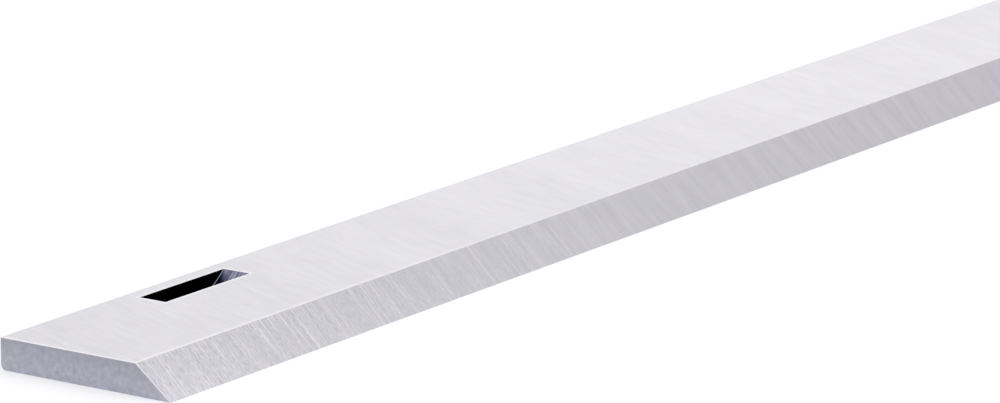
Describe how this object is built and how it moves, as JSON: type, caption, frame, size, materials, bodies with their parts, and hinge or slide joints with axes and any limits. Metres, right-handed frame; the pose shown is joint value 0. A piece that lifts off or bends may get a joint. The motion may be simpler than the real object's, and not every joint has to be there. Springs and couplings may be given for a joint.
{
  "type": "planer knife",
  "caption": "Flat ground strip of tool steel with one bevelled cutting edge and arc-bottomed height-setting pockets near its ends.",
  "frame": {"origin": "middle of the length and width, on the wide flat face that the knife lies on", "axes": "+X along the length, +Y from the cutting edge to the back edge, +Z through the thickness towards the bevelled side"},
  "size_m": [0.26, 0.019, 0.003],
  "materials": {
    "ground_steel": "surface-ground high-speed steel, fine cross-grinding on every long face"
  },
  "bodies": {
    "root": {"knife": "ground_steel"}
  },
  "joints": []
}
